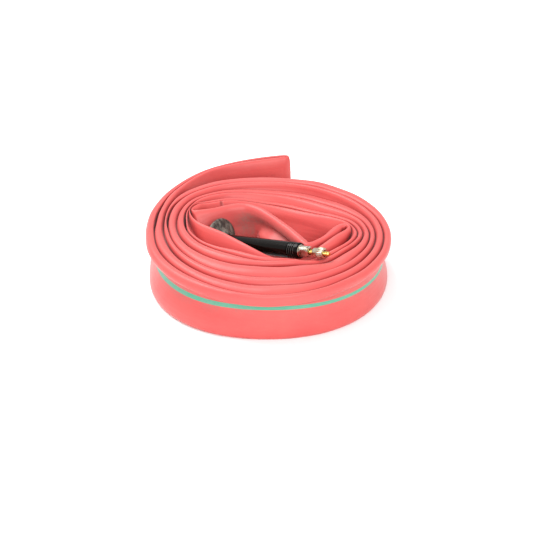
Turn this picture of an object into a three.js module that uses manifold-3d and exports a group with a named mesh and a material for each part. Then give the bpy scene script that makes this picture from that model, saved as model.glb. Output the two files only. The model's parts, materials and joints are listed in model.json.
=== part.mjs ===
// A latex bicycle inner tube, flattened, folded in two and rolled up, standing on the edge of its strip.
// Millimetres, +Z up. The strip stands on Z = 0 and the presta valve lies in the open middle of the roll.
import * as THREE from 'three';
import { mergeVertices } from 'three/addons/utils/BufferGeometryUtils.js';
import Module from 'manifold-3d';

// ---- driving dimensions -------------------------------------------------------------------------

const TUBE_WIDTH = 20.4;        // the flattened tube, standing on edge
const STRAND_THICKNESS = 1.9;   // one pass of the flattened tube: two walls and the air left between
const STEPS_PER_KNOT = 2;       // smoothness of the roll
const TURN_SPLIT = 3;           // knots worked out between two of the turns' own
const FOLD_STEPS = 4;           // smoothness of a fold of half a circle

// The roll, seen from above. It starts at the back left and winds outward clockwise. Each row is a
// turn, and each pair is a distance from the roll's centre: the outer strand, then the inner one.
const TURN_START = 135;         // degrees, counted anticlockwise from +X
const TURN_STEP = 45;
const TURNS = [
  [[33.8, 31.5], [25.8, 23.3], [27.5, 25.2], [34.0, 31.7],
    [24.7, 21.6], [21.7, 19.2], [23.8, 19.6], [31.9, 29.4]],
  [[38.8, 36.5], [31.7, 28.5], [33.1, 30.2], [38.5, 36.2],
    [36.3, 30.3], [33.8, 27.1], [34.7, 29.5], [37.8, 35.2]],
  [[44.6, 41.4], [41.6, 36.2], [43.8, 38.0], [45.0, 41.4],
    [45.0, 40.6], [45.0, 40.0], [45.0, 40.5], [45.0, 41.0]],
];

// The free end, which leaves the roll at the left and ends in the strip's outer fold.
const TAIL_OUTER = [[-45.0, 9.0], [-43.9, 18.6], [-38.9, 31.0], [-31.0, 43.2], [-22.3, 51.0], [-12.5, 55.8],
  [-3.0, 58.2], [6.6, 59.6]];
const TAIL_INNER = [[6.2, 56.6], [-2.4, 54.9], [-11.5, 52.6], [-20.6, 48.2], [-28.8, 40.9], [-36.2, 29.8],
  [-40.6, 18.4], [-41.6, 9.0]];

// The middle of the roll: the flap in front of the valve, then, past the inner fold at the right, the
// strand that turns back at a point and backs the valve's pad, then the strand behind it, past the
// tight fold at the left.
const FLAP = [[-27.9, 14.3], [-28.1, 7.6], [-26.8, 0.0], [-19.0, -6.9], [-10.1, -12.1], [-2.3, -16.4],
  [5.7, -16.5], [14.6, -12.2], [21.0, -6.8], [25.2, -1.8], [26.8, 2.6]];
const PAD_STRAND = [[24.6, 6.0], [21.0, 3.8], [17.4, 2.0], [14.2, 1.6], [12.4, 3.4], [11.2, 7.4],
  [8.2, 12.2], [3.0, 16.6], [-3.0, 20.0], [-9.4, 22.0], [-15.4, 20.9], [-19.0, 16.4], [-21.1, 13.5],
  [-23.3, 10.5]];
const BACK_STRAND = [[-25.7, 12.3], [-24.9, 15.4], [-23.8, 18.9]];

// The valve: a metal stem of 6 mm with a rubber pad at its foot and a core that screws out.
const PAD_FOOT = new THREE.Vector3(-18.5, 11.5, 9.5);   // the middle of the pad's back face
const VALVE_DIRECTION = new THREE.Vector3(0.783, -0.577, 0.233).normalize();
const PAD_RADIUS = 8.8;
const HUB_RADIUS = 4.7;         // the pad's raised middle, round the stem
const HUB_HEIGHT = 4.0;
const STEM_RADIUS = 3.0;
const STEM_END = 38.7;          // along the valve, measured from the pad's foot
const FLANGE_RADIUS = 4.6;      // the stem's foot, moulded into the pad
const FLANGE_THICKNESS = 1.0;
const AIR_BORE = 1.95;
const CORE_BORE = 2.5;
const CORE_DEPTH = 9.6;         // from the stem's end to the seat of the core's seal
const SEAT = STEM_END - CORE_DEPTH;
const MOUTH_RADIUS = 2.65;      // the wider mouth that the core's flange sits in
const MOUTH_DEPTH = 0.9;
const THREAD_PITCH = 0.9;       // the few thread ridges near the stem's end
const THREAD_DEPTH = 0.22;
const THREAD_RIDGES = 4;
const HEAD_LENGTH = 4.4;        // the core's head, from the stem's end outward
const HEAD_RADIUS = 2.05;
const FLAT_WIDTH = 3.3;         // across the two wrench flats
const BARREL_RADIUS = 2.15;     // the core's threaded part
const NECK_RADIUS = 1.75;       // the core below its thread
const GROOVE_RADIUS = 1.45;     // the groove that its seal sits in
const GROOVE_BOTTOM = 2.0;      // from the seat
const GROOVE_TOP = 3.2;
const CORE_FOOT = 0.9;          // the core's lower end, above the seat
const GASKET_THICKNESS = 0.9;
const CUP_THICKNESS = 0.8;
const PIN_BORE = 1.25;
const PIN_RADIUS = 0.7;
const PIN_THREAD_RADIUS = 0.9;
const PIN_TIP = 13.2;           // from the stem's end
const NUT_START = 6.2;          // from the stem's end, which leaves the gap that the pin can be pressed by
const NUT_SKIRT = 2.0;
const NUT_END = 11.0;
const NUT_RADIUS = 2.15;
const NUT_TEETH = 20;
const TOOTH_DEPTH = 0.16;
const GAP = 0.3;                // between pieces that touch
const PRESSED_IN = 0.5;         // how far clear of the valve the strands under it are pressed
const SIDES = 32;

// ---- helpers ------------------------------------------------------------------------------------

const wasm = await Module();
wasm.setup();

function toManifold(geometry) {
  const bare = geometry.clone();
  bare.deleteAttribute('normal');
  bare.deleteAttribute('uv');
  const merged = mergeVertices(bare, 1e-5);
  return new wasm.Manifold(new wasm.Mesh({
    numProp: 3,
    vertProperties: new Float32Array(merged.attributes.position.array),
    triVerts: new Uint32Array(merged.index.array),
  }));
}

function toGeometry(solid) {
  const mesh = solid.getMesh();
  const geometry = new THREE.BufferGeometry();
  geometry.setAttribute('position', new THREE.BufferAttribute(new Float32Array(mesh.vertProperties), 3));
  geometry.setIndex(new THREE.BufferAttribute(new Uint32Array(mesh.triVerts), 1));
  geometry.computeVertexNormals();
  return geometry;
}

// A turned piece about Z from a closed outline of [radius, height] points.
function turned(outline, sides = SIDES) {
  const points = outline.map(([radius, height]) => new THREE.Vector2(radius, height));
  points.push(points[0].clone());
  return new THREE.LatheGeometry(points, sides).rotateX(Math.PI / 2);
}

function piece(name, geometry, colour, roughness, metalness) {
  const material = new THREE.MeshStandardMaterial({ color: colour, roughness, metalness });
  const mesh = new THREE.Mesh(geometry, material);
  mesh.name = name;
  return mesh;
}

// ---- the rolled tube ----------------------------------------------------------------------------

function turnStrand(which) {
  const radii = TURNS.flat().map((pair, step) => new THREE.Vector2(step, pair[which]));
  const spline = new THREE.SplineCurve(radii);
  return spline.getPoints((radii.length - 1) * TURN_SPLIT).map(({ x: step, y: radius }) => {
    const angle = THREE.MathUtils.degToRad(TURN_START - TURN_STEP * step);
    return [radius * Math.cos(angle), radius * Math.sin(angle)];
  });
}

// Half a circle from one strand's end to the next one's start, turning anticlockwise, ends left out.
function fold([startX, startY], [endX, endY]) {
  const [centreX, centreY] = [(startX + endX) / 2, (startY + endY) / 2];
  return Array.from({ length: FOLD_STEPS - 1 }, (_, step) => {
    const angle = Math.PI * (step + 1) / FOLD_STEPS;
    const [armX, armY] = [startX - centreX, startY - centreY];
    return [
      centreX + armX * Math.cos(angle) - armY * Math.sin(angle),
      centreY + armX * Math.sin(angle) + armY * Math.cos(angle),
    ];
  });
}

// One closed loop: back along the inner strand from the outer fold, round the inner fold, and out along
// the outer strand.
function tubeLoop() {
  const knots = [
    ...TAIL_INNER, ...turnStrand(1).toReversed(), ...BACK_STRAND.toReversed(),
    ...fold(BACK_STRAND[0], PAD_STRAND.at(-1)), ...PAD_STRAND.toReversed(),
    ...fold(FLAP.at(-1), PAD_STRAND[0]).toReversed(), ...FLAP.toReversed(), ...turnStrand(0), ...TAIL_OUTER,
    ...fold(TAIL_INNER[0], TAIL_OUTER.at(-1)).toReversed(),
  ];
  const points = knots.map(([x, y]) => new THREE.Vector3(x, y, 0));
  return new THREE.CatmullRomCurve3(points, true, 'centripetal');
}

function offsetLoop(curve, distance) {
  const count = curve.points.length * STEPS_PER_KNOT;
  return Array.from({ length: count }, (_, step) => {
    const place = curve.getPoint(step / count);
    const along = curve.getTangent(step / count);
    return new THREE.Vector2(place.x - along.y * distance, place.y + along.x * distance);
  });
}

// The valve's own space, pressed into the strands that it lies on.
function valveSpace(radius, from, to) {
  const length = to - from;
  const cylinder = new THREE.CylinderGeometry(radius, radius, length, 24).rotateX(Math.PI / 2);
  return cylinder.translate(0, 0, from + length / 2);
}

function makeTube(valvePlace) {
  const curve = tubeLoop();
  const shape = new THREE.Shape(offsetLoop(curve, STRAND_THICKNESS / 2));
  shape.holes.push(new THREE.Path(offsetLoop(curve, -STRAND_THICKNESS / 2).toReversed()));
  let solid = toManifold(new THREE.ExtrudeGeometry(shape, { depth: TUBE_WIDTH, bevelEnabled: false }));
  const spaces = [
    valveSpace(STEM_RADIUS + PRESSED_IN, HUB_HEIGHT, STEM_END + 1),
    valveSpace(NUT_RADIUS + PRESSED_IN, STEM_END, STEM_END + PIN_TIP * 2.5),
  ];
  for (const space of spaces) {
    solid = solid.subtract(toManifold(space.applyMatrix4(valvePlace)));
  }
  return piece('inner_tube', toGeometry(solid), '#f06a68', 0.62, 0);
}

// ---- the valve, along its own Z from the pad's back face ------------------------------------------

function makePad() {
  const bore = STEM_RADIUS + GAP;
  const pocket = FLANGE_RADIUS + GAP;
  const outline = [
    [pocket, 0], [PAD_RADIUS - 0.3, 0], [PAD_RADIUS, 0.3], [PAD_RADIUS - 0.2, 0.8], [HUB_RADIUS + 1.4, 1.3],
    [HUB_RADIUS + 0.4, 1.7], [HUB_RADIUS - 0.3, HUB_HEIGHT * 0.7], [HUB_RADIUS - 0.9, HUB_HEIGHT],
    [bore, HUB_HEIGHT], [bore, FLANGE_THICKNESS + GAP], [pocket, FLANGE_THICKNESS + GAP],
  ];
  return piece('valve_pad', turned(outline, 40), '#3c3836', 0.75, 0);
}

function makeStem() {
  const outside = [[FLANGE_RADIUS, 0], [FLANGE_RADIUS, FLANGE_THICKNESS], [STEM_RADIUS, FLANGE_THICKNESS]];
  const firstRidge = STEM_END - 1.4 - THREAD_RIDGES * THREAD_PITCH;
  for (let ridge = 0; ridge < THREAD_RIDGES; ridge += 1) {
    const start = firstRidge + ridge * THREAD_PITCH;
    outside.push([STEM_RADIUS, start]);
    outside.push([STEM_RADIUS - THREAD_DEPTH, start + THREAD_PITCH * 0.3]);
    outside.push([STEM_RADIUS, start + THREAD_PITCH * 0.6]);
  }
  const end = [
    [STEM_RADIUS, STEM_END - 0.3], [STEM_RADIUS - 0.3, STEM_END], [MOUTH_RADIUS, STEM_END],
    [MOUTH_RADIUS, STEM_END - MOUTH_DEPTH], [CORE_BORE, STEM_END - MOUTH_DEPTH],
    [CORE_BORE, SEAT + 1.0], [AIR_BORE, SEAT + 0.4], [AIR_BORE, 0],
  ];
  return piece('valve_stem', turned([...outside, ...end], 40), '#171717', 0.35, 0.6);
}

// The core's body turns in the stem: a barrel with a groove for its seal, a flange that stops in the
// stem's mouth, and a head with two wrench flats.
function makeCoreBody() {
  const flangeBottom = STEM_END - MOUTH_DEPTH + GAP;
  const headTop = STEM_END + HEAD_LENGTH;
  const outline = [
    [PIN_BORE, SEAT + CORE_FOOT], [NECK_RADIUS - 0.15, SEAT + CORE_FOOT],
    [NECK_RADIUS, SEAT + CORE_FOOT + 0.4],
    [NECK_RADIUS, SEAT + GROOVE_BOTTOM - 0.1], [GROOVE_RADIUS, SEAT + GROOVE_BOTTOM],
    [GROOVE_RADIUS, SEAT + GROOVE_TOP], [NECK_RADIUS, SEAT + GROOVE_TOP + 0.1],
    [NECK_RADIUS, SEAT + GROOVE_TOP + 1.0], [BARREL_RADIUS, SEAT + GROOVE_TOP + 1.3],
    [BARREL_RADIUS, flangeBottom], [MOUTH_RADIUS - GAP, flangeBottom],
    [MOUTH_RADIUS - GAP, STEM_END + 0.1], [HEAD_RADIUS, STEM_END + 0.5],
    [HEAD_RADIUS, headTop - 0.3], [HEAD_RADIUS - 0.3, headTop], [PIN_BORE, headTop],
  ];
  let solid = toManifold(turned(outline));
  const flatLength = HEAD_LENGTH - 1.4;
  for (const side of [-1, 1]) {
    const cut = new THREE.BoxGeometry(HEAD_RADIUS * 2, HEAD_RADIUS * 4, flatLength);
    cut.translate(side * (FLAT_WIDTH / 2 + HEAD_RADIUS), 0, headTop - flatLength / 2 - 0.5);
    solid = solid.subtract(toManifold(cut));
  }
  return piece('core_body', toGeometry(solid), '#c8c4b8', 0.25, 1);
}

function makeCoreSeal() {
  const middle = SEAT + (GROOVE_BOTTOM + GROOVE_TOP) / 2;
  const inside = GROOVE_RADIUS + GAP;
  const outside = CORE_BORE - GAP;
  const outline = [[inside, middle - 0.3], [outside - 0.2, middle - 0.3], [outside, middle],
    [outside - 0.2, middle + 0.3], [inside, middle + 0.3]];
  return piece('core_seal', turned(outline), '#262322', 0.8, 0);
}

function makePin() {
  const foot = SEAT - 2.4;
  const threadStart = STEM_END + HEAD_LENGTH + 0.1;
  const tip = STEM_END + PIN_TIP;
  const outline = [
    [0, foot], [0.55, foot], [PIN_RADIUS, foot + 0.2], [PIN_RADIUS, threadStart - 0.3],
    [PIN_THREAD_RADIUS, threadStart], [PIN_THREAD_RADIUS, tip - 0.25],
    [PIN_THREAD_RADIUS - 0.25, tip], [0, tip],
  ];
  const points = outline.map(([radius, height]) => new THREE.Vector2(radius, height));
  const geometry = new THREE.LatheGeometry(points, 24).rotateX(Math.PI / 2);
  return piece('valve_pin', geometry, '#c9a24a', 0.3, 1);
}

// The rubber that closes the core's lower end, and the brass cup that carries it on the pin.
function makePinGasket() {
  const top = SEAT + CORE_FOOT - GAP;
  const bore = PIN_RADIUS + GAP;
  const outline = [[bore, top - GASKET_THICKNESS], [1.55, top - GASKET_THICKNESS],
    [1.65, top - GASKET_THICKNESS / 2], [1.55, top], [bore, top]];
  return piece('pin_gasket', turned(outline, 24), '#2b2726', 0.8, 0);
}

function makeGasketCup() {
  const top = SEAT + CORE_FOOT - GASKET_THICKNESS - 2 * GAP;
  const bore = PIN_RADIUS + GAP;
  const outline = [[bore, top - CUP_THICKNESS], [1.2, top - CUP_THICKNESS], [1.25, top - 0.35],
    [1.5, top - 0.2], [1.5, top], [bore, top]];
  return piece('gasket_cup', turned(outline, 24), '#c9a24a', 0.35, 1);
}

function makeLockNut() {
  const bore = PIN_THREAD_RADIUS + GAP;
  const skirtStart = STEM_END + NUT_START;
  const headStart = skirtStart + NUT_SKIRT;
  const headLength = NUT_END - NUT_START - NUT_SKIRT;
  const corners = Array.from({ length: NUT_TEETH * 2 }, (_, corner) => {
    const radius = corner % 2 ? NUT_RADIUS - TOOTH_DEPTH : NUT_RADIUS;
    const angle = Math.PI * corner / NUT_TEETH;
    return new THREE.Vector2(radius * Math.cos(angle), radius * Math.sin(angle));
  });
  const shape = new THREE.Shape(corners);
  const head = new THREE.ExtrudeGeometry(shape, { depth: headLength, bevelEnabled: false });
  head.translate(0, 0, headStart);
  const skirt = turned([[bore, skirtStart], [1.6, skirtStart], [1.85, skirtStart + 0.3],
    [1.85, headStart + 0.2], [bore, headStart + 0.2]]);
  const hole = new THREE.CylinderGeometry(bore, bore, headLength * 2, SIDES).rotateX(Math.PI / 2);
  hole.translate(0, 0, headStart + headLength / 2);
  const solid = toManifold(head).subtract(toManifold(hole)).add(toManifold(skirt));
  return piece('lock_nut', toGeometry(solid), '#b5ae9c', 0.3, 1);
}

// ---- assembly -------------------------------------------------------------------------------------

const valve = new THREE.Group();
const upright = new THREE.Vector3(0, 0, 1);
valve.quaternion.setFromUnitVectors(upright, VALVE_DIRECTION);
valve.position.copy(PAD_FOOT);
valve.updateMatrix();
valve.add(makePad(), makeStem(), makeCoreBody(), makeCoreSeal());
valve.add(makePin(), makePinGasket(), makeGasketCup(), makeLockNut());

const tube = makeTube(valve.matrix);
const innerTube = new THREE.Group();
innerTube.add(tube, valve);

// The origin goes under the middle of the whole part, on the surface that it stands on.
tube.geometry.computeBoundingBox();
const middle = tube.geometry.boundingBox.getCenter(new THREE.Vector3());
innerTube.position.set(-middle.x, -middle.y, 0);

export default innerTube;
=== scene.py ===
"""A rolled latex inner tube with a black presta valve: the looks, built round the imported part.

Lengths in the tables are in millimetres, from the centre of the roll. Z is up and the roll stands
on Z = 0.
"""
import json
import math

import bmesh
import bpy
import numpy as np
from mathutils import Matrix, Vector, noise


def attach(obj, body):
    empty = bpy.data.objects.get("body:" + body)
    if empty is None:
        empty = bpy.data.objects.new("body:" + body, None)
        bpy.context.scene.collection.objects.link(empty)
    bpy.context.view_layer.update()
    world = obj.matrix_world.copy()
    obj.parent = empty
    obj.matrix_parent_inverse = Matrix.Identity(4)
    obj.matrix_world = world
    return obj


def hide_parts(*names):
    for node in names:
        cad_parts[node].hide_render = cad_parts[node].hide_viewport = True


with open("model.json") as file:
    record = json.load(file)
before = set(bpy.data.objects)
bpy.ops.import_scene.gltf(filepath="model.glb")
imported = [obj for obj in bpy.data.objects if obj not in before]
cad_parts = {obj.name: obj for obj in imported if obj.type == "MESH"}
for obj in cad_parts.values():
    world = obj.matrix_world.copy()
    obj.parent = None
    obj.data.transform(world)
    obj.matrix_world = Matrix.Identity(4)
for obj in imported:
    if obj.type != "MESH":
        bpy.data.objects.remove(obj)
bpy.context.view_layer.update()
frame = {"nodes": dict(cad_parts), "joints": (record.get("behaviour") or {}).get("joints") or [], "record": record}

MM = 0.001


def named(rows, name):
    """The joint or the mount of that name."""
    return next(row for row in rows if row["name"] == name)


# The rest face lies here from the roll's centre, and that gives the centre in the row frame.
REST_FACE = np.array([0.0, -45.0])
rest_face = named(frame["record"]["mounts"], "rest_face")
ROLL_CENTRE = np.array(rest_face["pos_m"][:2]) / MM - REST_FACE

# ---- the roll, seen from above -------------------------------------------------------------------

HEIGHT = 20.4                        # the flattened tube, standing on edge
WAIST = 0.75                         # half the thickness between the two puffed edges
CLEAR = 0.05                         # left between edges that touch
STRIP_CLEAR = 0.07                   # left on each side of the strip
STRAND_CLEAR = 0.03                  # left on each side of the line between its two strands

# A place is a number of steps of 45 degrees, clockwise from the back left, along the wound strip.
TURN_START = 135.0
TURN_STEP = 45.0
TURN_PLACES = 8                      # in one whole turn
KNOTS_A_STEP = 3

# Distances of the strip's outer edge, of the line between its two strands, and of the first turn's
# inner edge, at each place.
STRIP_OUTER = [35.5, 31.0, 29.6, 35.2, 26.2, 23.0, 25.9, 33.3,
               39.6, 37.4, 38.2, 39.8, 38.1, 36.3, 36.4, 38.8,
               45.5, 44.2, 45.6, 45.9, 46.0, 46.0, 46.0, 46.0]
STRIP_MIDDLE = [33.6, 28.4, 27.0, 33.3, 23.4, 20.6, 20.6, 29.8,
                37.5, 33.6, 33.2, 37.7, 34.4, 31.2, 33.0, 37.0,
                42.3, 39.4, 40.6, 42.9, 42.7, 43.8, 41.5, 42.6]
STRIP_INNER = [31.6, 25.8, 24.4, 31.1, 20.0, 17.7, 17.2, 28.2]
# The lower edge's distances, as parts of the upper edge's.
FOOT = 13 * [0.97] + [0.95, 0.975] + 5 * [0.97] + [0.965, 0.93, 0.985, 0.97]

GAP_PLACE, GAP_SPREAD, GAP_WIDTH = 7.35, 0.22, 0.9       # where the two strands part
LEAN_PLACE, LEAN_SPREAD, LEAN = 1.5, 0.9, 8.5            # where the inner strand's foot slides inwards
SINK_ANGLE, SINK_SPREAD = 75.0, 50.0                     # where the inner turns sink below the outer one
SINK_PLACES = [5.0, 7.0, 13.0, 15.0]
SINK_DEPTHS = [4.2, 2.5, 2.5, 0.0]
WAIST_HEIGHT = 13.4
WAIST_PLACES = [18.0, 19.0, 20.5, 22.0]                  # how far the middle is drawn in from the edges
WAIST_DEPTHS = [2.5, 3.0, 3.0, 3.6]
SQUARE_ANGLE = -70.0                                     # where the line between the strands shows most

# Each knot: upper edge x, y, z; lower edge x, y; half thickness of the upper and lower edges; how far
# the middle is drawn towards the strip's outside; height of the waist.
TAIL_OUTER = [
    (-44.3, 9.6, 20.0, -43.0, 9.2, 1.5, 1.5, -1.9, 11.8),
    (-43.0, 18.6, 20.0, -42.0, 18.2, 1.5, 1.5, -1.9, 11.8),
    (-38.6, 30.6, 20.0, -38.0, 30.2, 1.5, 1.5, -1.9, 11.8),
    (-30.9, 42.6, 20.0, -30.6, 42.2, 1.5, 1.5, -1.6, 11.8),
    (-22.2, 50.6, 20.1, -21.8, 49.6, 1.5, 1.5, -1.2, 11.8),
    (-12.4, 55.7, 20.3, -11.9, 54.3, 1.1, 1.1, -0.4, 11.8),
    (-3.0, 58.1, 20.8, -2.3, 56.2, 1.0, 1.0, 0.0, 11.8),
    (5.4, 59.7, 21.0, 6.3, 57.4, 1.0, 1.0, 0.0, 11.8),
]
OUTER_FOLD = [
    (7.3, 59.5, 21.1, 8.3, 57.2, 0.9, 0.9, 0.0, 11.8),
    (7.8, 58.8, 21.1, 8.8, 56.5, 0.8, 0.8, 0.0, 11.8),
    (7.2, 58.2, 21.1, 8.2, 55.8, 0.9, 0.9, 0.0, 11.8),
]
TAIL_INNER = [
    (5.0, 57.6, 21.0, 6.0, 55.0, 1.3, 1.0, 0.0, 11.8),
    (-2.7, 55.9, 20.8, -1.9, 53.5, 1.5, 1.2, 0.0, 11.8),
    (-11.8, 53.4, 20.6, -11.2, 51.3, 1.6, 1.3, 0.2, 11.8),
    (-21.2, 48.8, 20.5, -20.4, 47.2, 1.3, 1.3, 0.6, 11.8),
    (-29.3, 41.0, 20.4, -28.6, 40.2, 1.5, 1.5, 1.0, 11.8),
    (-36.2, 29.2, 20.4, -35.4, 28.5, 1.7, 1.7, 1.4, 11.8),
    (-39.6, 18.0, 20.4, -38.6, 17.6, 1.9, 1.9, 1.4, 11.8),
    (-40.6, 9.0, 20.4, -39.4, 8.7, 2.1, 2.1, 1.2, 11.8),
]
FLAP = [
    (-28.0, 21.4, 20.4, -26.6, 21.0, 0.9, 1.0, -1.0, 11.8),
    (-29.8, 18.2, 20.4, -28.2, 17.4, 0.8, 1.0, -0.8, 11.8),
    (-29.8, 14.6, 20.3, -28.4, 13.0, 0.9, 1.0, -0.4, 11.8),
    (-28.4, 10.4, 20.2, -28.1, 6.6, 1.1, 1.0, -0.2, 11.8),
    (-25.6, 7.0, 20.0, -25.4, -0.6, 1.2, 1.0, -0.2, 11.0),
    (-21.6, 4.6, 19.6, -21.4, -4.8, 1.3, 1.0, -0.3, 11.0),
    (-17.0, 2.0, 19.0, -17.0, -8.0, 1.3, 1.0, -0.3, 11.0),
    (-11.6, -1.9, 18.0, -11.2, -11.4, 1.3, 1.0, -0.3, 10.5),
    (-5.0, -7.2, 17.0, -4.4, -15.0, 1.3, 1.0, -0.2, 10.0),
    (0.0, -9.9, 16.0, 1.0, -16.2, 1.3, 1.0, 0.0, 9.5),
    (4.8, -10.9, 15.3, 5.9, -15.9, 1.3, 1.1, 0.0, 9.0),
    (9.8, -10.9, 15.3, 10.4, -14.6, 1.4, 1.1, 0.0, 9.0),
    (14.4, -9.6, 16.4, 14.6, -12.4, 1.8, 1.2, 0.0, 9.5),
    (18.8, -7.3, 18.2, 18.4, -9.8, 2.4, 1.3, 0.0, 10.5),
    (22.8, -4.6, 19.6, 21.8, -6.6, 2.7, 1.3, 0.0, 11.0),
    (26.2, -1.4, 20.2, 25.0, -2.4, 2.7, 1.3, 0.0, 11.8),
]
INNER_FOLD = [
    (28.8, 0.9, 20.4, 27.2, 1.0, 1.4, 1.2, 0.0, 11.8),
    (30.1, 3.3, 20.4, 28.4, 3.4, 1.2, 1.1, 0.0, 11.8),
    (29.5, 5.6, 20.4, 27.8, 5.6, 1.2, 1.1, 0.0, 11.8),
]
PAD_STRAND = [
    (27.3, 5.6, 20.3, 25.8, 6.4, 1.7, 1.2, 0.0, 11.8),
    (24.4, 2.7, 19.8, 23.6, 5.2, 2.2, 1.3, 0.2, 11.8),
    (21.2, -0.7, 19.0, 20.8, 3.4, 1.9, 1.4, 0.3, 11.0),
    (18.0, -3.2, 18.4, 18.0, 1.6, 2.1, 1.6, 0.3, 10.5),
    (15.7, -4.7, 18.1, 16.0, 0.6, 2.2, 1.8, 0.3, 10.5),
    (14.2, -4.8, 18.1, 14.8, 0.4, 2.2, 2.0, 0.3, 11.0),
    (12.8, -3.0, 18.3, 13.8, 0.8, 2.2, 3.2, 0.3, 13.5),
    (10.6, 0.3, 18.7, 12.0, 2.4, 2.2, 4.2, 0.3, 15.2),
    (7.6, 4.9, 19.3, 9.0, 5.2, 2.1, 4.8, 0.3, 15.6),
    (4.0, 9.6, 19.8, 5.4, 8.0, 2.1, 5.0, 0.4, 15.4),
    (0.4, 14.2, 20.1, 1.8, 11.0, 2.0, 4.6, 0.6, 14.6),
    (-3.6, 18.6, 20.3, -1.6, 15.2, 1.9, 2.6, 0.5, 13.0),
    (-9.0, 21.4, 20.4, -6.0, 17.8, 1.8, 1.2, 0.4, 11.0),
    (-15.0, 20.4, 20.4, -10.2, 18.0, 1.7, 1.0, 0.6, 10.5),
    (-20.2, 18.2, 20.4, -13.8, 15.0, 1.6, 1.0, -0.7, 9.5),
    (-24.6, 16.9, 20.4, -16.8, 11.0, 1.6, 1.0, -1.8, 9.5),
    (-27.4, 16.5, 20.3, -19.8, 6.9, 1.5, 1.0, -2.4, 9.5),
    (-28.5, 16.6, 20.2, -22.6, 3.8, 1.3, 1.0, -2.0, 9.5),
]
HAIRPIN = [
    (-29.0, 17.4, 20.2, -24.6, 3.6, 1.2, 1.0, 0.0, 12.0),
    (-28.8, 18.4, 20.3, -25.8, 5.4, 1.2, 1.0, 0.0, 12.0),
]
BACK_STRAND = [
    (-27.6, 19.8, 20.4, -26.0, 10.0, 1.3, 1.0, 0.4, 11.8),
    (-26.0, 21.2, 20.4, -25.2, 15.6, 0.9, 1.0, 0.8, 11.8),
]

# The green line's height.
HIGH_LINE = 12.7                     # on the tail
FOLD_LINE = 11.0                     # at the tail's end
TAIL_INNER_LINE = 10.0               # on the tail's inner side
LOW_LINE = 6.5                       # along the strand that faces the middle
ROLL_LINE = 18 * [HIGH_LINE] + [11.6, 10.4, 11.6, 12.8, 11.9, 11.3]      # round the outside of the roll

# What each column of a knot or a station holds.
TOP, FOOT_PLACE = slice(0, 3), slice(3, 5)
HEIGHT_COLUMN, HALF_TOP, HALF_FOOT, DRAWN, WAIST_AT, LINE, TALC_SHADE_LEVEL, SQUARE, SWELL, CROWN = 2, *range(5, 14)
FULL_SWELL = 20.0                    # a lower edge that swells over its whole height
POCKET_SWELL = 3.4                   # and one that swells only at its foot, beside the valve


def smooth(value):
    """Eases from 0 to 1."""
    value = np.clip(value, 0.0, 1.0)
    return value * value * (3.0 - 2.0 * value)


def spline(rows, places):
    """Values at places, counted in rows, on a Catmull-Rom curve through the rows."""
    rows = np.asarray(rows, float)
    rows = rows.reshape(len(rows), -1)
    start = np.clip(np.floor(places).astype(int), 0, len(rows) - 2)
    part = (places - start)[:, None]
    before, here = rows[np.maximum(start - 1, 0)], rows[start]
    there, after = rows[start + 1], rows[np.minimum(start + 2, len(rows) - 1)]
    return here + part * 0.5 * (
        there - before
        + part * (2 * before - 5 * here + 4 * there - after + part * (3 * (here - there) + after - before))
    )


def roll_places():
    """The place of each knot of the roll."""
    return np.arange(0, len(STRIP_OUTER) - 1 + 1e-9, 1 / KNOTS_A_STEP)


def turn_knots(which):
    """Knots of one strand of the roll, 0 the outer one and 1 the inner one, from the middle outward."""
    places = roll_places()
    outer = spline(STRIP_OUTER, places)[:, 0]
    middle = spline(STRIP_MIDDLE, places)[:, 0]
    inner = spline(STRIP_INNER + STRIP_OUTER[:2 * TURN_PLACES + 1], places)[:, 0]
    feet = spline(FOOT, places)[:, 0]
    parted = GAP_WIDTH * np.exp(-((places - GAP_PLACE) / GAP_SPREAD) ** 2)
    if which == 0:
        far, near = outer - STRIP_CLEAR, middle + STRAND_CLEAR
    else:
        far, near = middle - STRAND_CLEAR - parted, inner + STRIP_CLEAR
    knots = []
    for place, high, low, foot in zip(places, far, near, feet):
        degrees = TURN_START - TURN_STEP * place
        angle = math.radians(degrees)
        radius, half = (high + low) / 2, (high - low) / 2
        x, y = radius * math.cos(angle), radius * math.sin(angle)
        drawn = half - np.interp(place, WAIST_PLACES, WAIST_DEPTHS) - WAIST
        lean = which * math.exp(-((place - LEAN_PLACE) / LEAN_SPREAD) ** 2)
        foot -= LEAN * lean / radius
        aside = (degrees - SINK_ANGLE + 180) % 360 - 180
        sunk = np.interp(place, SINK_PLACES, SINK_DEPTHS) * math.exp(-(aside / SINK_SPREAD) ** 2)
        knots.append((x, y, HEIGHT - sunk, x * foot, y * foot, half, half * (1 - lean) + lean,
                      drawn if which == 0 else -drawn * (1 - lean), WAIST_HEIGHT))
    return knots


def marked(knots, line, talc_shade_level=0.0, square=0.0, swell=FULL_SWELL, crown=0.0):
    """Adds to each knot the green line's height, the bloom of talc (below 0 on the inner side, where it
    also stands for painted shade), how square the edge is on the inner side, over how much height the
    lower edge swells, and how much deeper than usual the upper edge is rounded."""
    return [(*knot, line, talc_shade_level, square, swell, crown) for knot in knots]


def roll_marked(which, talc_shade_level, crown=0.0):
    """The roll's knots, marked: the line between its two strands shows least at the back."""
    places = roll_places()
    lines = spline(ROLL_LINE, places)[:, 0] if which == 0 else np.full(len(places), LOW_LINE)
    rows = []
    for place, knot, line in zip(places, turn_knots(which), lines):
        towards_front = math.cos(math.radians(TURN_START - TURN_STEP * place - SQUARE_ANGLE))
        rows += marked([knot], line, talc_shade_level, square=0.5 - 0.5 * towards_front, crown=crown)
    return rows


LONGEST_STEP = 1.8                   # between two stations
SHARPEST_TURN = 0.16                 # in radians


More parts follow.
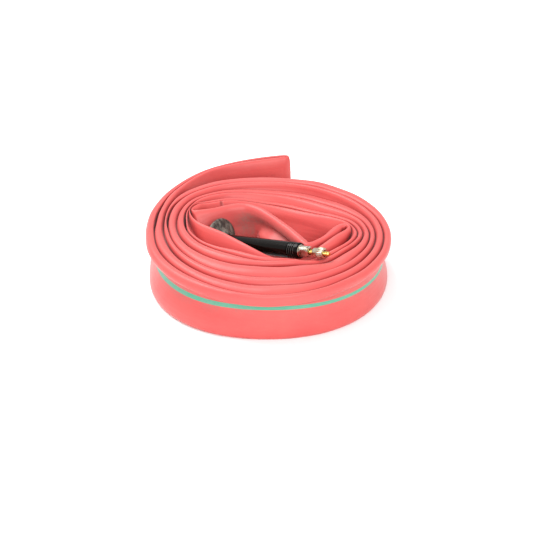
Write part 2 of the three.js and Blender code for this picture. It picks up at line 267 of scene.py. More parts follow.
def stations():
    """The strip's closed loop, close enough for a smooth skin: one row of fourteen values a station."""
    knots = np.array(
        roll_marked(0, 0.6)
        + marked(TAIL_OUTER, HIGH_LINE, 0.6, square=1.0)
        + marked(OUTER_FOLD, FOLD_LINE, crown=2.0)
        + marked(TAIL_INNER, TAIL_INNER_LINE, 0.05, square=1.0, crown=3.6)
        + roll_marked(1, 0.2, crown=0.8)[::-1]
        # Below 0 the talc on the inner side also stands for painted shade, strongest in the pocket beside the
        # valve.
        + marked((HAIRPIN + BACK_STRAND)[::-1], LOW_LINE, -0.3)
        + marked(PAD_STRAND[13:], LOW_LINE, -0.6, crown=1.0)[::-1]
        + marked(PAD_STRAND[12:13], LOW_LINE, -1.4, crown=1.2)
        + marked(PAD_STRAND[7:12], LOW_LINE, -1.2, swell=POCKET_SWELL, crown=1.0)[::-1]
        + marked(PAD_STRAND[5:7], LOW_LINE, swell=POCKET_SWELL, crown=0.8)[::-1]
        + marked((INNER_FOLD + PAD_STRAND[:5])[::-1], LOW_LINE)
        + marked(FLAP[::-1], LOW_LINE, crown=1.6)
    )
    around = np.vstack([knots[-2:], knots, knots[:3]])
    middles = (around[:, :2] + around[:, FOOT_PLACE]) / 2
    gaps = np.sqrt(np.linalg.norm(np.diff(middles, axis=0), axis=1))
    when = np.concatenate([[0], np.cumsum(gaps)])
    rows = []
    for i in range(2, 2 + len(knots)):
        t0, t1, t2, t3 = when[i - 1:i + 3]
        p0, p1, p2, p3 = around[i - 1:i + 3]
        ahead, behind = p2[:2] - p1[:2], p1[:2] - p0[:2]
        turn = abs(math.atan2(ahead[1], ahead[0]) - math.atan2(behind[1], behind[0]))
        turn = min(turn, 2 * math.pi - turn)
        by_length = math.ceil(np.linalg.norm(ahead) / LONGEST_STEP)
        count = int(max(2, by_length, math.ceil(turn / SHARPEST_TURN)))
        for t in np.linspace(t1, t2, count, endpoint=False):
            a1 = (t1 - t) / (t1 - t0) * p0 + (t - t0) / (t1 - t0) * p1
            a2 = (t2 - t) / (t2 - t1) * p1 + (t - t1) / (t2 - t1) * p2
            a3 = (t3 - t) / (t3 - t2) * p2 + (t - t2) / (t3 - t2) * p3
            b1 = (t2 - t) / (t2 - t0) * a1 + (t - t0) / (t2 - t0) * a2
            b2 = (t3 - t) / (t3 - t1) * a2 + (t - t1) / (t3 - t1) * a3
            rows.append((t2 - t) / (t2 - t1) * b1 + (t - t1) / (t2 - t1) * b2)
    return np.array(rows)


# ---- the valve's place ---------------------------------------------------------------------------

# The valve's foot is the middle of the pad's back. The core turns about a point at the stem's end.
STEM_END = 38.7
core_turn = named(frame["joints"], "core_turn")
ALONG = np.array(core_turn["axis"])                      # from the pad to the tip
VALVE_FOOT = np.array(core_turn["pos_m"]) / MM - STEM_END * ALONG
ACROSS = np.cross(ALONG, [0.0, 0.0, 1.0])
ACROSS /= np.linalg.norm(ACROSS)
UP = np.cross(ACROSS, ALONG)
# What lies over the strands: its radius, and where it starts and ends along the valve.
LYING = [(3.0, 4.0, 38.9), (2.25, 38.9, 50.0), (1.0, 50.0, 52.0)]
LYING_CLEAR = 0.15
LYING_STEP = 0.5
NO_LIMIT = 99.0


def to_row(points):
    """From the roll's own frame to the row frame, both in millimetres."""
    return np.asarray(points, float) + [ROLL_CENTRE[0], ROLL_CENTRE[1], 0.0]


def under_valve(points):
    """The height that a strand's upper edge may reach at each [x, y] point, in the row frame."""
    limit = np.full(len(points), NO_LIMIT)
    for radius, first, last in LYING:
        for s in np.arange(first, last, LYING_STEP):
            x, y, z = VALVE_FOOT + ALONG * s
            reach = (radius + LYING_CLEAR) ** 2 - (points[:, 0] - x) ** 2 - (points[:, 1] - y) ** 2
            inside = reach > 0
            limit[inside] = np.minimum(limit[inside], z - np.sqrt(reach[inside]))
    return limit


# ---- the tube's skin -----------------------------------------------------------------------------

def feet_of(rows):
    """The middle of the lower edge at every station, on the floor."""
    return np.column_stack([rows[:, FOOT_PLACE], np.zeros(len(rows))])


def directions(rows):
    """Up the strip's face and out of its outer face, for every station."""
    middle = (rows[:, :2] + rows[:, FOOT_PLACE]) / 2
    along = np.zeros((len(rows), 3))
    along[:, :2] = np.roll(middle, -1, 0) - np.roll(middle, 1, 0)
    along /= np.linalg.norm(along, axis=1)[:, None]
    face = rows[:, TOP] - feet_of(rows)
    face /= np.linalg.norm(face, axis=1)[:, None]
    out = np.cross(face, along)
    out /= np.linalg.norm(out, axis=1)[:, None]
    return face, out


NEIGHBOUR_REACH = 14.0               # how far to the side another strand is looked for
OWN_STRETCH = 5.0                    # how much of the strand itself is left out
THINNEST = 0.35
THINNINGS = 3
PARALLEL = 1e-9


def keep_apart(places, halves):
    """Thins the edges where two strands would run into each other."""
    count = len(places)
    step = np.roll(places, -1, 0) - np.roll(places, 1, 0)
    step /= np.linalg.norm(step, axis=1)[:, None]
    normal = np.column_stack([-step[:, 1], step[:, 0]])
    travelled = np.concatenate([[0], np.cumsum(np.linalg.norm(np.diff(places, axis=0), axis=1))])
    total = travelled[-1] + np.linalg.norm(places[0] - places[-1])
    after = np.roll(places, -1, 0)
    for _ in range(THINNINGS):
        limit = halves.copy()
        for i in range(count):
            apart = np.abs(travelled - travelled[i])
            far = np.minimum(apart, total - apart) > OWN_STRETCH
            start = places - places[i]
            edge = after - places
            side = edge[:, 0] * normal[i, 1] - edge[:, 1] * normal[i, 0]
            side = np.where(np.abs(side) < PARALLEL, PARALLEL, side)
            part = (start[:, 1] * normal[i, 0] - start[:, 0] * normal[i, 1]) / side
            reach = start @ normal[i] + part * (edge @ normal[i])
            hit = far & (part >= 0) & (part < 1) & (np.abs(reach) < NEIGHBOUR_REACH)
            for sign in (-1, 1):
                ahead = hit & (reach * sign > 0)
                if ahead.any():
                    near = np.where(ahead, np.abs(reach), NO_LIMIT).argmin()
                    over = halves[i] + halves[near] + CLEAR - abs(reach[near])
                    if over > 0:
                        limit[i] = min(limit[i], halves[i] - over / 2)
        halves = np.maximum(limit, THINNEST)
    return np.minimum(halves, (np.roll(halves, 1) + halves + np.roll(halves, -1)) / 3)


STRIPE_WIDTH = 1.8
STRIPE_NARROWS = 0.4                 # the part of its width lost at the right of the roll
STRIPE_HIGHEST = 0.66                # of the strip's height
LEDGE_LINES = [11.8, 12.8]           # the higher the line runs, the faster the lip curls out above it
LEDGES = [5.2, 2.6]
DEEPEST_CAP = 2.7
SQUARENESS = 0.6
WAIST_ABOVE_LINE = 0.6
WAIST_BELOW_CAP = 1.2
HIGHEST_WAIST, HIGHEST_IN_POCKET = 0.68, 0.8             # of the strip's height
LIP_STARTS = 0.3                     # above the waist
CAP_STEPS = 7
FACE_STEPS = 12


def stripe_edges(row, height):
    """Where the green line lies on the outer face: narrower at the right of the roll."""
    right = max(0.0, row[0] / math.hypot(row[0], row[1]))
    line, width = min(row[LINE], height * STRIPE_HIGHEST), STRIPE_WIDTH * (1 - STRIPE_NARROWS * right)
    return line - width / 2, line + width / 2


def waist_of(row, height, high):
    """The height where the strip is thinnest, always above the line and below the rounded edge."""
    highest = height * (HIGHEST_WAIST if row[SWELL] > FULL_SWELL / 2 else HIGHEST_IN_POCKET)
    return min(max(row[WAIST_AT], row[LINE] + WAIST_ABOVE_LINE), highest, high - WAIST_BELOW_CAP)


def cap_depth(half):
    """How far down a rounded edge of that half thickness reaches."""
    return min(0.75 * half + 0.9, DEEPEST_CAP)


def cross_section(row, height):
    """One cross-section: [up the face, out of it] points round it, and which of them edge the line."""
    half_top, half_foot, drawn = row[HALF_TOP], row[HALF_FOOT], row[DRAWN]
    cap_top = cap_depth(half_top) + row[CROWN]
    cap_foot = cap_depth(half_foot)
    low, high = cap_foot, height - cap_top
    waist = waist_of(row, height, high)
    ledge = np.interp(row[LINE], LEDGE_LINES, LEDGES)
    first, last = stripe_edges(row, height)
    outside = np.concatenate([np.linspace(low, first, FACE_STEPS), np.linspace(last, high, FACE_STEPS)])
    inside = np.linspace(high, low, 2 * FACE_STEPS - 4)

    def above(up, rise):
        return smooth((up - waist - LIP_STARTS) / rise)

    def below(up):
        return smooth((waist - up) / min(waist - low, row[SWELL]))

    def across(up, sign):
        puffed = (half_top - WAIST) * above(up, min(high - waist - LIP_STARTS, ledge))
        return sign * (WAIST + puffed + (half_foot - WAIST) * below(up))

    turn = np.linspace(0, math.pi / 2, CAP_STEPS + 1)
    power = 1 - SQUARENESS * row[SQUARE]
    rising = np.column_stack([cap_foot * (1 - np.cos(turn)), half_foot * np.sin(turn)])[:-1]
    over = np.column_stack([high + cap_top * np.sin(turn), half_top * np.cos(turn)])[1:]
    back = np.column_stack([high + cap_top * np.cos(turn) ** power, -half_top * np.sin(turn) ** power])
    under = np.column_stack([cap_foot * (1 - np.sin(turn)), -half_foot * np.cos(turn)])[1:-1]
    points = np.vstack([
        rising, np.column_stack([outside, across(outside, 1)]), over,
        back[1:-1], np.column_stack([inside, across(inside, -1)]), under,
    ])
    points[:, 1] += drawn * (1 - above(points[:, 0], ledge)) * (1 - below(points[:, 0]))
    return points, len(rising) + FACE_STEPS - 1


PRESS_SPREAD = 7.0                   # how far along the strand it is lowered with its pressed part


def press_down(rows, out):
    """Lowers the upper edges that the valve lies on, and those beside them a little less."""
    need = np.zeros(len(rows))
    for part in (-1.0, -0.5, 0.0, 0.5, 1.0):
        points = to_row(rows[:, TOP])[:, :2] + out[:, :2] * rows[:, [HALF_TOP]] * part
        need = np.maximum(need, rows[:, HEIGHT_COLUMN] - under_valve(points))
    steps = np.linalg.norm(np.diff(rows[:, :2], axis=0, append=rows[:1, :2]), axis=1)
    travelled = np.concatenate([[0], np.cumsum(steps)[:-1]])
    pressed = np.zeros(len(rows))
    for i in np.nonzero(need > 0)[0]:
        pressed = np.maximum(pressed, need[i] * np.exp(-((travelled - travelled[i]) / PRESS_SPREAD) ** 2))
    rows[:, HEIGHT_COLUMN] -= pressed


def wander(place, size, seed):
    """A smooth wave over the plan, the same on every run."""
    return noise.noise(Vector((place[0] / size, place[1] / size, seed)))


def new_mesh(name, points, faces, slots=None):
    """A smooth-shaded object from points in metres."""
    mesh = bpy.data.meshes.new(name)
    mesh.from_pydata([tuple(p) for p in points], [], faces)
    if slots is not None:
        mesh.polygons.foreach_set("material_index", slots)
    mesh.polygons.foreach_set("use_smooth", [True] * len(mesh.polygons))
    mesh.update()
    made = bpy.data.objects.new(name, mesh)
    bpy.context.scene.collection.objects.link(made)
    return made


WAVE_LENGTH = 14.0                   # the upper edges' small waves
WAVE_HEIGHT = 0.35
LINE_BAND, LINE_SPREAD = 11.5, 3.2   # where talc shows round the outside: its middle and its spread
POCKET_BAND, POCKET_SPREAD = 15.6, 2.4                   # and in the pocket, where it is talc and painted shade
INSIDE_STARTS, INSIDE_RISE = 5.0, 6.0                    # and on the other inner faces, talc and painted shade too
INSIDE_FADES, INSIDE_FALL = 16.5, 2.5


def talc_and_shade_on(row, section):
    """How much talc each point of a cross-section holds; on the inner side it also stands for painted shade."""
    up = section[:, 0]
    if row[TALC_SHADE_LEVEL] > 0:
        shown = section[:, 1] > row[DRAWN]
        band = np.exp(-((up - LINE_BAND) / LINE_SPREAD) ** 2)
    else:
        shown = section[:, 1] < row[DRAWN]
        if row[SWELL] > FULL_SWELL / 2:
            fading = smooth((up - INSIDE_FADES) / INSIDE_FALL)
            band = smooth((up - INSIDE_STARTS) / INSIDE_RISE) * (1 - fading)
        else:
            band = np.exp(-((up - POCKET_BAND) / POCKET_SPREAD) ** 2)
    return abs(row[TALC_SHADE_LEVEL]) * band * shown


def lofted(count, ring, stripe):
    """The faces between closed rings of points, and their material slots: 1 on the green line."""
    faces, slots = [], []
    for i in range(count):
        here, there = i * ring, (i + 1) % count * ring
        for j in range(ring):
            k = (j + 1) % ring
            faces.append((here + j, here + k, there + k, there + j))
            slots.append(1 if j == stripe else 0)
    return faces, slots


def make_tube():
    rows = stations()
    rows[:, HALF_TOP] = keep_apart(rows[:, :2], rows[:, HALF_TOP])
    rows[:, HALF_FOOT] = keep_apart(rows[:, FOOT_PLACE], rows[:, HALF_FOOT])
    out_before = directions(rows)[1]
    for i, row in enumerate(rows):
        seed = 10.0 if i > len(rows) / 2 else 3.0
        row[HEIGHT_COLUMN] += WAVE_HEIGHT * wander(row, WAVE_LENGTH, seed)
    press_down(rows, out_before)
    face, out = directions(rows)
    heights = np.linalg.norm(rows[:, TOP] - feet_of(rows), axis=1)
    feet = to_row(feet_of(rows))
    travelled = np.concatenate([[0], np.cumsum(np.linalg.norm(np.diff(feet, axis=0), axis=1))])
    points, talc_and_shade, strip = [], [], []
    for row, foot, up, side, height, travel in zip(rows, feet, face, out, heights, travelled):
        section, stripe = cross_section(row, height)
        points.append(foot + section[:, :1] * up + section[:, 1:] * side)
        talc_and_shade.append(talc_and_shade_on(row, section))
        strip.append(np.column_stack([np.full(len(section), travel), section]))
    faces, slots = lofted(len(rows), len(points[0]), stripe)
    points = np.vstack(points)
    points[:, 2] = np.maximum(points[:, 2], 0.0)
    made = new_mesh("tube", points * MM, faces, slots)
    # Talc, and on the inner faces and in the pocket painted shade, for the material.
    talc_shade = made.data.attributes.new("talc_shade", "FLOAT", "POINT")
    talc_shade.data.foreach_set("value", np.concatenate(talc_and_shade))
    lengthwise = made.data.attributes.new("strip", "FLOAT_VECTOR", "POINT")
    lengthwise.data.foreach_set("vector", (np.vstack(strip) * MM).ravel())
    return made


tube = make_tube()
print("tube", len(tube.data.vertices), "vertices", [round(v / MM, 2) for v in tube.dimensions])

# ---- materials -----------------------------------------------------------------------------------


class Shader:
    """A material under construction, so that each one reads as a short recipe."""

    def __init__(self, name):
        self.material = bpy.data.materials.new(name)
        self.material.use_nodes = True
        self.tree = self.material.node_tree
        self.surface = self.tree.nodes["Principled BSDF"]
        self.place = self.add("ShaderNodeTexCoord").outputs["Object"]

    def add(self, kind, **values):
        """A new node; each value goes to its input of that name, or else to its own setting."""
        node = self.tree.nodes.new(kind)
        for key, value in values.items():
            if key in node.inputs:
                node.inputs[key].default_value = value
            else:
                setattr(node, key, value)
        return node

    def join(self, source, target):
        """Links one socket to another."""
        self.tree.links.new(source, target)

    def set(self, **values):
        """Sets the surface's own sockets; an underscore stands for a space."""
        for key, value in values.items():
            self.surface.inputs[key.replace("_", " ")].default_value = value

    def noise(self, scale, detail=3.0, roughness=0.5, stretch=None, place=None):
        """Noise of so many features a metre, over the object or another place."""
        node = self.add("ShaderNodeTexNoise", Scale=scale, Detail=detail, Roughness=roughness)
        place = place or self.place
        if stretch:
            mapping = self.add("ShaderNodeMapping", Scale=stretch)
            self.join(place, mapping.inputs["Vector"])
            place = mapping.outputs["Vector"]
        self.join(place, node.inputs["Vector"])
        return node.outputs["Fac"]

    def ramp(self, source, *stops):
        """A colour for each value, through (value, colour) stops."""
        node = self.add("ShaderNodeValToRGB")
        elements = node.color_ramp.elements
        while len(elements) < len(stops):
            elements.new(0.5)
        for element, (position, colour) in zip(elements, stops):
            element.position = position
            element.color = (*colour, 1.0) if len(colour) == 3 else colour
        self.join(source, node.inputs["Fac"])
        return node.outputs["Color"]

    def blend(self, amount, first, second, mode="MIX"):
        """Mixes two colours; each value may be a socket or a plain number or colour."""
        node = self.add("ShaderNodeMix", data_type="RGBA", blend_type=mode)
        for value, socket in ((amount, node.inputs[0]), (first, node.inputs[6]), (second, node.inputs[7])):
            if isinstance(value, bpy.types.NodeSocket):
                self.join(value, socket)
            elif isinstance(value, tuple):
                socket.default_value = (*value, 1.0)
            else:
                socket.default_value = value
        return node.outputs[2]

    def remap(self, source, low, high, start=0.0, end=1.0):
        """From start..end to low..high, held at both ends."""
        node = self.add("ShaderNodeMapRange")
        for socket, value in zip(("From Min", "From Max", "To Min", "To Max"), (start, end, low, high)):
            node.inputs[socket].default_value = value
        self.join(source, node.inputs["Value"])
        return node.outputs["Result"]

    def hollow(self, distance):
        """1 in the open, 0 deep in a groove of about the given width."""
        node = self.add("ShaderNodeAmbientOcclusion", samples=12, only_local=True, Distance=distance)
        return node.outputs["AO"]

    def bump(self, *layers):
        """Bump from (height, distance in metres) layers."""
        normal = None
        for height, distance in layers:
            node = self.add("ShaderNodeBump", Strength=1.0, Distance=distance)
            self.join(height, node.inputs["Height"])
            if normal:
                self.join(normal, node.inputs["Normal"])
            normal = node.outputs["Normal"]
        self.join(normal, self.surface.inputs["Normal"])


# Reach of the painted shade in hollows: between turns of latex, and in the valve's turned grooves.
GROOVE = 0.0035                      # between turns of latex
TURNED_GROOVE = 0.0007               # on the valve's metal
KINK = (-0.01768, 0.01684, 0.0202)   # a short crease across the innermost turn, at the back left
KINK_ACROSS = (0.98, 0.19, 0.0)
KINK_HALF_WIDTH = 0.0008
KINK_HALF_LENGTH = 0.0036
# The painted shade in the crease.
KINK_SHADE = (0.25, 0.030, 0.028)


def kink_mark(shader):
    """1 along the crease, fading to 0 beside it and at its ends."""
    offset = shader.add("ShaderNodeVectorMath", operation="SUBTRACT")
    shader.join(shader.place, offset.inputs[0])
    offset.inputs[1].default_value = KINK
    beside = shader.add("ShaderNodeVectorMath", operation="DOT_PRODUCT")
    shader.join(offset.outputs["Vector"], beside.inputs[0])
    beside.inputs[1].default_value = KINK_ACROSS
    distance = shader.add("ShaderNodeVectorMath", operation="LENGTH")
    shader.join(offset.outputs["Vector"], distance.inputs[0])
    size = shader.add("ShaderNodeMath", operation="ABSOLUTE")
    shader.join(beside.outputs["Value"], size.inputs[0])
    both = shader.add("ShaderNodeMath", operation="MULTIPLY")
    width = shader.remap(size.outputs["Value"], 1.0, 0.0, KINK_HALF_WIDTH / 4, KINK_HALF_WIDTH)
    length = shader.remap(distance.outputs["Value"], 1.0, 0.0, KINK_HALF_LENGTH / 2, KINK_HALF_LENGTH)
    shader.join(width, both.inputs[0])
    shader.join(length, both.inputs[1])
    return both.outputs["Value"]


def latex(name, base, deep, crease, talc_and_shade):
    """Soft latex: blotchy colour, fine grain, painted shade deep in its grooves, and a bloom of talc held in a
    tube attribute that also carries painted shade.
    """
    shader = Shader(name)
    blotch = shader.ramp(shader.noise(70, 4, 0.6), (0.3, deep), (0.7, base))
    strip = shader.add("ShaderNodeAttribute", attribute_name="strip").outputs["Vector"]
    streak = shader.noise(500, 3, 0.6, stretch=(0.05, 1.0, 1.0), place=strip)
    creases = shader.noise(900, 2, 0.5, stretch=(0.04, 0.8, 0.8), place=strip)
    tone = shader.blend(shader.remap(streak, 0.0, 0.25, 0.4, 0.75), blotch, base)
    # Painted shade: the colour darkens towards the crease colour deep in the grooves.
    groove = shader.remap(shader.hollow(GROOVE), 1.0, 0.0, 0.15, 0.8)
    tone = shader.blend(groove, tone, crease)
    # The tube's attribute holds talc, and painted shade on the inner faces and in the pocket; it mixes in the talc
    # colour.
    talc_shade = shader.add("ShaderNodeAttribute", attribute_name="talc_shade").outputs["Fac"]
    grain = shader.ramp(shader.noise(900, 4, 0.7), (0.35, (0.3, 0.3, 0.3)), (0.75, (1.0, 1.0, 1.0)))
    patches = shader.ramp(shader.noise(110, 3, 0.6), (0.36, (0.25, 0.25, 0.25)), (0.62, (1.0, 1.0, 1.0)))
    talc_shade_amount = shader.blend(1.0, shader.blend(1.0, grain, talc_shade, "MULTIPLY"), patches, "MULTIPLY")
    tone = shader.blend(talc_shade_amount, tone, talc_and_shade)
    # Painted shade along the crease, besides its dent.
    kink = kink_mark(shader)
    shader.join(shader.blend(kink, tone, KINK_SHADE), shader.surface.inputs["Base Color"])
    rough = shader.remap(shader.noise(400, 3, 0.6), 0.36, 0.5)
    shader.join(rough, shader.surface.inputs["Roughness"])
    shader.set(Sheen_Weight=0.12, Sheen_Roughness=0.4, Coat_Weight=0.05, Coat_Roughness=0.35)
    shader.set(Specular_IOR_Level=0.35)
    waves, pores = shader.noise(130, 2, 0.5), shader.noise(1500, 3, 0.6)
    dent = shader.remap(kink, 0.0, -1.0)
    shader.bump((waves, 0.00012), (creases, 0.00012), (pores, 0.000025), (dent, 0.0003))
    return shader.material


def moulded(name, colour, light, roughness, grain):
    """Black moulded rubber with a dusty, fibrous face."""
    shader = Shader(name)
    fibres = shader.noise(700, 4, 0.7, stretch=(1.0, 1.0, 0.3))
    shader.join(shader.ramp(fibres, (0.40, colour), (0.70, light)), shader.surface.inputs["Base Color"])
    shader.set(Roughness=roughness)
    shader.bump((fibres, grain))
    return shader.material


def metal(name, colour, worn, roughness, metallic=1.0, wear=0.6, shine=0.5, hollow_shade=None):
    """Plated or bare metal with turning marks, wear and, where asked, painted shade in its hollows."""
    shader = Shader(name)
    marks = shader.noise(900, 5, 0.7)
    tone = shader.ramp(marks, (wear - 0.08, colour), (wear + 0.12, worn))
    if hollow_shade:
        # Painted shade: darker deep in the turned grooves.
        hollows = shader.remap(shader.hollow(TURNED_GROOVE), 1.0, 0.0, 0.35, 0.92)
        tone = shader.blend(hollows, tone, hollow_shade)
    shader.join(tone, shader.surface.inputs["Base Color"])
    shader.set(Metallic=metallic, Specular_IOR_Level=shine)
    rough = shader.remap(shader.noise(1400, 3, 0.6), roughness * 0.7, roughness * 1.4)
    shader.join(rough, shader.surface.inputs["Roughness"])
    shader.bump((shader.noise(2500, 2, 0.5), 0.000004))
    return shader.material


# Each crease colour is painted shade for the grooves; each talc colour also stands for painted shade on the inner
# faces and in the pocket.
PINK = latex(
    "pink latex", base=(0.60, 0.088, 0.080), deep=(0.55, 0.070, 0.068), crease=(0.33, 0.030, 0.030),
    talc_and_shade=(0.35, 0.125, 0.108),
)
GREEN = latex(
    "green line", base=(0.07, 0.34, 0.215), deep=(0.055, 0.30, 0.19), crease=(0.03, 0.17, 0.11),
    talc_and_shade=(0.20, 0.33, 0.26),
)
PAD_RUBBER = moulded(
    "pad rubber", (0.030, 0.025, 0.021), (0.24, 0.205, 0.17), roughness=0.65, grain=0.0001,
)
SEAL_RUBBER = moulded(
    "seal rubber", (0.015, 0.015, 0.015), (0.03, 0.03, 0.03), roughness=0.55, grain=0.00002,
)
BLACK = metal(
    "black alloy", (0.003, 0.002, 0.0015), (0.010, 0.006, 0.004), roughness=0.15, metallic=0.0,
    wear=0.75, shine=0.16,
)
# Polished and glossy, and lighter than the black alloy as a painted highlight on the ring crests.
POLISHED_HIGHLIGHT = metal(
    "polished black alloy with painted highlight", (0.05, 0.045, 0.04), (0.12, 0.11, 0.10), roughness=0.14, metallic=0.0,
    shine=1.0,
)
# The colour given for the hollows of each metal is painted shade.
NICKEL = metal(
    "nickel", (0.72, 0.68, 0.60), (0.52, 0.44, 0.32), roughness=0.16, wear=0.5,
    hollow_shade=(0.10, 0.06, 0.04),
)
NICKEL_WORN = metal(
    "worn nickel", (0.60, 0.56, 0.46), (0.50, 0.40, 0.22), roughness=0.22, wear=0.5,
    hollow_shade=(0.09, 0.06, 0.03),
)
BRASS = metal(
    "brass", (0.75, 0.54, 0.16), (0.58, 0.38, 0.10), roughness=0.18, hollow_shade=(0.10, 0.06, 0.02),
)

tube.data.materials.append(PINK)
tube.data.materials.append(GREEN)

# ---- the valve -----------------------------------------------------------------------------------


def join_ends(mesh):
    """Makes one point of each end's points on the axis."""
    skin = bmesh.new()
    skin.from_mesh(mesh)
    bmesh.ops.remove_doubles(skin, verts=skin.verts, dist=0.001 * MM)
    skin.to_mesh(mesh)
    skin.free()


def turned(name, outline, sides, shape=None, closed=True):
    """A turned piece on the valve's axis, from (radius, distance from the pad's back) points. An
    outline that isn't closed starts and ends on the axis."""
    points = []
    for j in range(sides):
        angle = 2 * math.pi * j / sides
        for radius, s in outline:
            if shape:
                radius, s = shape(angle, radius, s)
            offset = radius * (math.cos(angle) * ACROSS + math.sin(angle) * UP)
            points.append((VALVE_FOOT + ALONG * s + offset) * MM)
    count = len(outline)
    faces = []
    for j in range(sides):
        here, there = j * count, (j + 1) % sides * count
        for i in range(count if closed else count - 1):
            k = (i + 1) % count
            faces.append((here + i, here + k, there + k, there + i))
    made = new_mesh(name, points, faces)
    if not closed:
        join_ends(made.data)
    return made


def finished(piece, material, sharp):
    """The piece with its material, and with edges above so many degrees kept sharp."""
    piece.data.materials.append(material)
    piece.data.set_sharp_from_angle(angle=math.radians(sharp))
    return piece


def ripple(angle, waves):
    """Between 0 and 1, so many times round the axis."""
    return 0.5 + 0.5 * math.cos(waves * angle)


STAR_RAYS = 10
STAR_INSIDE, STAR_OUTSIDE, STAR_HEIGHT = 3.8, 8.2, 0.28


def pad_relief(angle, radius, s):
    """A moulded star on the pad's face."""
    if STAR_INSIDE < radius < STAR_OUTSIDE and s > 0.6:
        swell = math.sin(math.pi * (radius - STAR_INSIDE) / (STAR_OUTSIDE - STAR_INSIDE))
        s += STAR_HEIGHT * ripple(angle, STAR_RAYS) * swell
    return radius, s


def make_pad():
    """The round rubber pad, with its back hollow where the stem's foot sits."""
    face = [(8.8, 0.3), (8.72, 0.65), (8.5, 0.85), (8.0, 0.95), (7.4, 1.0), (6.8, 1.1), (6.2, 1.2),
            (5.6, 1.4), (5.1, 1.7), (4.75, 2.1), (4.5, 2.6), (4.25, 3.2), (3.95, 3.7), (3.6, 4.0),
            (3.15, 4.05)]
    back = [(3.15, 1.35), (4.95, 1.35), (4.95, 0.0), (7.0, 0.0), (8.55, 0.0)]
    return finished(turned("pad", face + back, 120, pad_relief), PAD_RUBBER, 60)


RINGS_FIRST, RINGS_LAST = 33.9, 37.3
RINGS = 4
RING_STEP = 0.9
RING_CREST = (0.45, 0.75)            # the polished part of each ring's step, lighter as a painted highlight


def make_stem():
    """The black stem, with polished crests on the rings near its end, painted lighter as a highlight."""
    outline = [(4.6, 0.0), (4.6, 1.0), (3.0, 1.0), (3.0, 33.4)]
    for ring in range(RINGS):
        start = RINGS_FIRST + RING_STEP * ring
        outline += [(3.0, start), (2.64, start + 0.1), (2.64, start + 0.3), (2.92, start + 0.42),
                    (3.04, start + 0.6), (3.04, start + 0.7)]
    outline += [(3.0, 38.3), (2.9, 38.58), (2.72, 38.7), (2.62, 38.66), (2.62, 37.8), (2.5, 37.7),
                (2.5, 30.1), (1.95, 29.5), (1.95, 0.0)]
    made = finished(turned("stem", outline, 72), BLACK, 30)
    made.data.materials.append(POLISHED_HIGHLIGHT)
    for face in made.data.polygons:
        s = (np.array(face.center) / MM - VALVE_FOOT) @ ALONG
        on_crest = RING_CREST[0] < (s - RINGS_FIRST) % RING_STEP < RING_CREST[1]
        if RINGS_FIRST < s < RINGS_LAST and on_crest:
            face.material_index = 1
    return made


FLATS_FIRST, FLATS_LAST = 39.6, 43.15
FLATS_HALF = 1.62


def with_flats(angle, radius, s):
    """Two spanner flats on the core's outer end."""
    if FLATS_FIRST < s < FLATS_LAST:
        radius = min(radius, FLATS_HALF / max(abs(math.cos(angle)), 1e-6))
    return radius, s


def make_core():
    """The valve core inside the stem, with its collar and flats outside."""
    barrel = [(1.25, 30.0), (1.6, 30.0), (1.75, 30.4), (1.75, 31.0), (1.45, 31.1), (1.45, 32.3),
              (1.75, 32.4), (1.75, 33.3), (2.15, 33.6), (2.15, 38.1)]
    collar = [(2.32, 38.1), (2.32, 38.8), (2.15, 38.9), (1.95, 39.0), (1.95, 39.2), (2.05, 39.3)]
    neck = [(2.05, s) for s in (39.59, 39.61, 40.4, 41.2, 42.0, 42.3)]
    end = [(1.75, 42.45), (1.75, 42.65), (2.0, 42.8), (1.9, 43.0), (1.7, 43.1), (1.25, 43.1)]
    return finished(turned("core", barrel + collar + neck + end, 96, with_flats), NICKEL, 30)


THREADS = 20
THREAD_FIRST, THREAD_STEP = 43.2, 0.4


def make_pin():
    """The threaded brass pin through the core."""
    outline = [(0.0, 26.7), (0.55, 26.7), (0.7, 26.9), (0.7, 42.9)]
    for thread in range(THREADS):
        start = THREAD_FIRST + THREAD_STEP * thread
        outline += [(0.9, start), (0.78, start + THREAD_STEP / 2)]
    outline += [(0.9, 51.3), (0.88, 51.6), (0.7, 51.85), (0.4, 51.9), (0.0, 51.9)]
    return finished(turned("pin", outline, 40, closed=False), BRASS, 30)


KNURL_TEETH = 20
KNURL_DEPTH = 0.16
KNURL_FIRST, KNURL_LAST, KNURL_INSIDE = 47.0, 49.6, 1.9


def knurled(angle, radius, s):
    """Grooves round the nut's head."""
    if radius > KNURL_INSIDE and KNURL_FIRST < s < KNURL_LAST:
        radius -= KNURL_DEPTH * ripple(angle, KNURL_TEETH)
    return radius, s


def make_nut():
    """The small knurled nut on the pin's end."""
    outline = [(1.2, 44.9), (1.55, 44.9), (1.75, 45.1), (1.85, 45.3), (1.85, 46.6), (1.95, 46.9),
               (2.1, 47.1), (2.15, 47.4), (2.15, 48.0), (2.15, 48.8), (2.12, 49.3), (2.0, 49.6),
               (1.8, 49.7), (1.2, 49.7)]
    return finished(turned("nut", outline, 120, knurled), NICKEL_WORN, 40)


pad = make_pad()
stem = make_stem()
core = make_core()
pin = make_pin()
nut = make_nut()

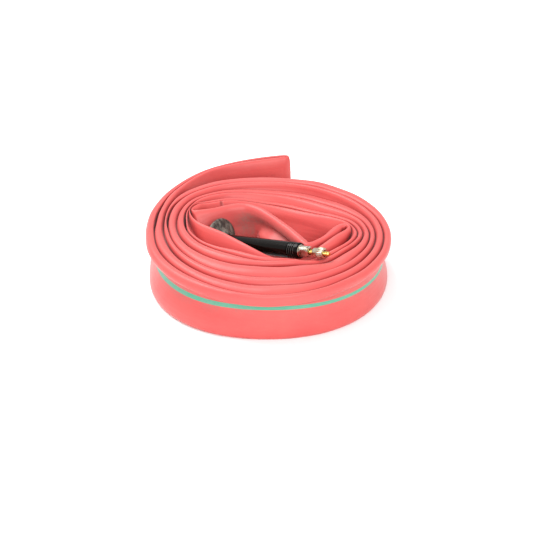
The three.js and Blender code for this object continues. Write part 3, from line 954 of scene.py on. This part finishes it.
for piece, body, node, slot in (
    (tube, "roll", "inner_tube", "latex"), (pad, "roll", "valve_pad", "pad_rubber"),
    (stem, "roll", "valve_stem", "black_alloy"), (core, "core", "core_body", "nickel"),
    (pin, "pin", "valve_pin", "brass"), (nut, "nut", "lock_nut", "nickel_worn"),
):
    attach(piece, body)
    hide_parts(node)
for node, material, slot in (
    ("core_seal", SEAL_RUBBER, "seal_rubber"), ("pin_gasket", SEAL_RUBBER, "seal_rubber"),
    ("gasket_cup", BRASS, "brass"),
):
    kept = frame["nodes"][node]
    kept.data.materials.clear()
    kept.data.materials.append(material)

# ---- floor, light and camera ---------------------------------------------------------------------

FLOOR_SIZE = 6.0
bpy.ops.mesh.primitive_plane_add(size=FLOOR_SIZE, location=(0, 0, 0))
floor = bpy.context.object
floor.name = "floor"
paper = Shader("white paper")
paper.set(Base_Color=(0.98, 0.98, 0.98, 1.0), Roughness=0.9)
floor.data.materials.append(paper.material)

world = bpy.data.worlds.new("studio")
bpy.context.scene.world = world
world.use_nodes = True
sky = world.node_tree.nodes["Background"]
sky.inputs["Color"].default_value = (1.0, 1.0, 1.0, 1.0)
sky.inputs["Strength"].default_value = 0.85


def soft_box(name, place, aim, size, power):
    """An area light of size metres, aimed at a point."""
    light = bpy.data.lights.new(name, "AREA")
    light.shape = "RECTANGLE"
    light.size, light.size_y = size
    light.energy = power
    box = bpy.data.objects.new(name, light)
    bpy.context.scene.collection.objects.link(box)
    box.location = place
    box.rotation_euler = (Vector(aim) - Vector(place)).to_track_quat("-Z", "Y").to_euler()


soft_box("key", (-0.35, 0.25, 0.75), (0, 0, 0), (0.6, 0.5), 7.6)
soft_box("front", (0.12, -0.65, 0.45), (0, 0, 0.01), (0.6, 0.4), 4.8)

CAMERA_ELEVATION = 30.97
CAMERA_DISTANCE = 0.750
CAMERA_AIM = Vector((ROLL_CENTRE[0] - 0.75, ROLL_CENTRE[1], 5.276)) * MM
CAMERA_LENS = 135
SENSOR_WIDTH = 36
camera = bpy.data.cameras.new("camera")
camera.lens = CAMERA_LENS
camera.sensor_width = SENSOR_WIDTH
eye = bpy.data.objects.new("camera", camera)
bpy.context.scene.collection.objects.link(eye)
elevation = math.radians(CAMERA_ELEVATION)
back = Vector((0, -math.cos(elevation), math.sin(elevation)))
eye.location = CAMERA_AIM + back * CAMERA_DISTANCE
eye.rotation_euler = (-back).to_track_quat("-Z", "Y").to_euler()
camera.clip_start, camera.clip_end = 0.01, 20
bpy.context.scene.camera = eye
bpy.context.scene.view_settings.view_transform = "Standard"
